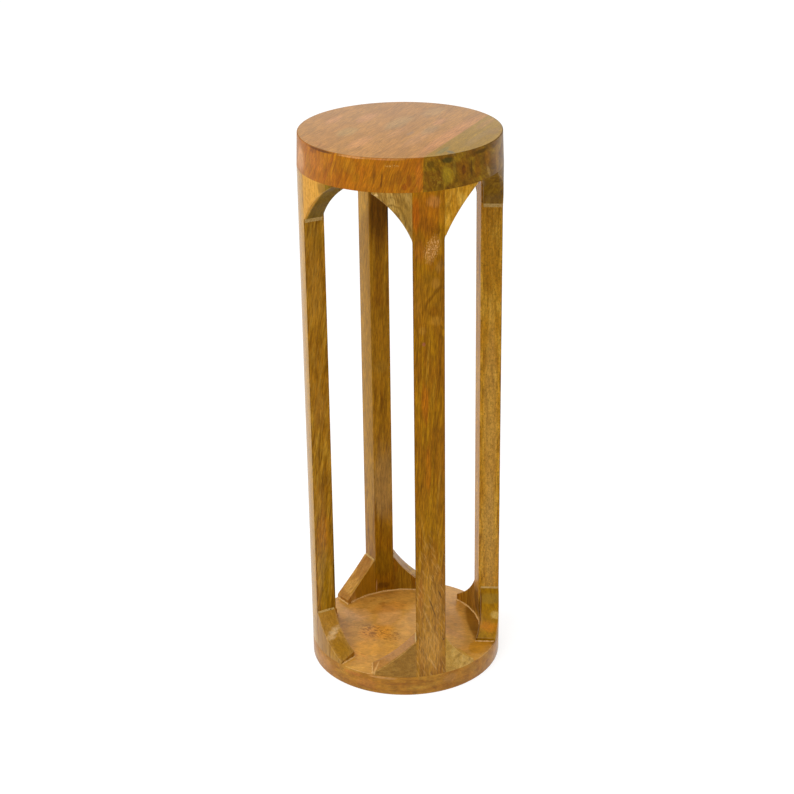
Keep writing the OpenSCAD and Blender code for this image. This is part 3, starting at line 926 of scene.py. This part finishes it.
BRACKET_LOOKS = {
    ("top", 1, "left"): dict(
        dark=(142, 100, 34), mid=(174, 132, 58), light=(196, 156, 80), drift=(156, 116, 42), slant=-12,
        fibre=0.26,
        patches=[
            on_side(26, 522, 46, 70, (128, 94, 34), 0.6, 0.3, rings=5),
            on_side(17, 548.5, 5, 3, (226, 186, 120), 0.9)]),
    ("top", 1, "right"): dict(
        dark=(168, 112, 12), mid=(200, 142, 30), light=(222, 168, 60), streak=(4, 4, 12),
        streak_span=(0.3, 0.7), drift=(184, 122, 14), slant=10, fibre=0.22, blotch=0.14,
        patches=[
            on_side(58, 540, 14, 18, (168, 108, 8), 0.5, speck=4),
            on_side(66, 535, 12, 26, (232, 182, 74), 0.5, lean=20)]),
    # Dark tones paint the shade on this bracket's underside; its outer face gets a golden patch
    ("top", 4, "right"): dict(
        dark=(110, 82, 8), mid=(126, 96, 14), light=(138, 106, 22), drift=(118, 86, 10), fibre=0.12,
        blotch=0.05, pores=0.15, coat=0.15,
        patches=[
            on_side(330, 530, 120, 160, (220, 160, 64), 0.95, 0.3, depth=5),
            on_side(342, 546, 16, 14, (150, 108, 40), 0.7, 0.6, depth=6),
            on_side(330, 534, 44, 50, (184, 124, 34), 0.55, 1.0, depth=5, speck=2.6),
            on_side(318, 530, 9, 60, (212, 154, 70), 0.7, 0.5, depth=4)]),
    # Dark tones paint the shade on this bracket's underside
    ("top", 2, "left"): dict(
        dark=(104, 72, 8), mid=(132, 94, 14), light=(150, 112, 24), drift=(120, 84, 10), fibre=0.14,
        blotch=0.06, pores=0.2, coat=0.25),
    ("base", 1, "left"): dict(
        dark=(142, 100, 36), mid=(156, 112, 42), light=(168, 124, 52), streak=(3, 6, 30),
        drift=(148, 104, 36), slant=78, fibre=0.14, blotch=0.05, pores=0.15, flat_tint=(200, 138, 66),
        flat_share=0.9, worn=0.25, coat=0.3,
        patches=[
            on_side(22, 40, 160, 160, (176, 122, 60), 0.75, 0.1, radius=89, depth=11),
            on_side(10.5, 27, 4, 14, (214, 166, 100), 0.7, 0.3, depth=24)]),
    ("base", 1, "right"): dict(
        dark=(172, 126, 38), mid=(196, 150, 60), light=(214, 170, 80), streak=(3, 6, 24),
        drift=(184, 136, 44), slant=-35, fibre=0.12, pores=0.08),
    ("base", 2, "left"): dict(
        dark=(146, 100, 1), mid=(172, 122, 1), light=(188, 138, 4), drift=(158, 110, 1), fibre=0.12,
        blotch=0.06, pores=0.15, flat_tint=(184, 130, 2), flat_share=0.5, coat=0.3, gloss=0.2,
        patches=[
            on_side(105, 37, 18, 20, (200, 122, 0), 0.75, radius=94, depth=16),
            on_side(117, 58, 26, 14, (152, 120, 42), radius=SIDE_R, depth=24),
            # Pale spot near the edge: painted highlight
            on_side(112, 46, 10, 18, (218, 182, 96), 0.65, 0.9, radius=99, depth=8),
            on_side(97, 28, 20, 10, (150, 112, 20), radius=SIDE_R, depth=20),
            on_side(110, 42, 60, 60, (104, 62, 3), 0.9, 0.1, radius=80.5, depth=2.6)]),
    ("base", 3, "right"): dict(
        dark=(162, 108, 28), mid=(188, 134, 48), light=(204, 152, 66), fibre=0.14, blotch=0.06, pores=0.15,
        flat_tint=(184, 136, 62), flat_share=0.9, coat=0.5,
        patches=[on_side(240, 40, 60, 60, (172, 122, 14), 0.85, 0.1, radius=80.5, depth=2.6)]),
    ("base", 3, "left"): dict(
        dark=(130, 86, 8), mid=(158, 114, 20), light=(184, 138, 34), flat_tint=(184, 142, 76),
        flat_share=0.7),
    ("base", 4, "right"): dict(
        dark=(140, 98, 20), mid=(172, 124, 40), light=(194, 146, 58), drift=(162, 112, 26), fibre=0.16,
        pores=0.2,
        patches=[
            on_side(344, 34, 40, 34, (152, 106, 8), 0.75, 0.5, radius=SIDE_R, depth=14),
            # Three pale patches along the curve: painted highlight
            on_side(331.2, 54, 7, 22, (218, 184, 132), 0.65, 0.9, radius=87.5, depth=9),
            on_side(332.6, 51, 7, 22, (222, 190, 140), 0.7, 0.9, radius=SIDE_R, depth=9),
            on_side(334.2, 47, 7, 22, (216, 178, 122), 0.65, 0.9, radius=96.5, depth=9)])}

for number, angle in LEG_ANGLES.items():
    grain = wood("leg_%d_wood" % number, UP, around(LEG_RINGS[number]), 10 + number, **LEG_LOOKS[number])
    make_leg(number, grain)
    for level in ("top", "base"):
        for index, side in enumerate(("left", "right")):
            name = "%s_bracket_%d_%s" % (level, number, side)
            look = dict(BRACKET_PLAIN, **BRACKET_LOOKS.get((level, number, side), {}))
            seed = 30 + 4 * number + 2 * (level == "top") + index
            make_bracket(level, number, side, wood(name + "_wood", UP, around(angle + 20), seed, **look))

# Heights of the putty on the ledges, and place of the nail marks on two of them
TOP_PUTTY_H = 4.2
BASE_PUTTY_H = 1.6
NAIL_Y = 0.8
NAIL_RISE = 42.25

glue = filler("dried_glue", (226, 184, 116), (196, 146, 76))
putty = filler("wood_putty", (204, 170, 104), (180, 142, 74))
nail = filler("nail_hole", (62, 42, 18), (38, 26, 12))
for number in LEG_ANGLES:
    make_bead(number, glue)
    for side in ("left", "right"):
        make_wedge("top", number, side, TOP_PUTTY_H, putty)
        make_wedge("base", number, side, BASE_PUTTY_H, putty)
        make_end_bead(number, side, glue)
make_nail_mark("nail_mark_4", bracket_point("base", 4, "right", 86.4, NAIL_Y, NAIL_RISE), 1.5, nail)
make_nail_mark("nail_mark_3", bracket_point("base", 3, "left", 90, NAIL_Y, NAIL_RISE), 1.3, nail)
pale = wood("dowel_wood", UP, around(0), 60, dark=(190, 150, 100), mid=(200, 165, 115), light=(215, 180, 130))
dress("top_dowels", pale)
dress("base_dowels", pale)

bpy.context.scene.view_settings.view_transform = "Standard"
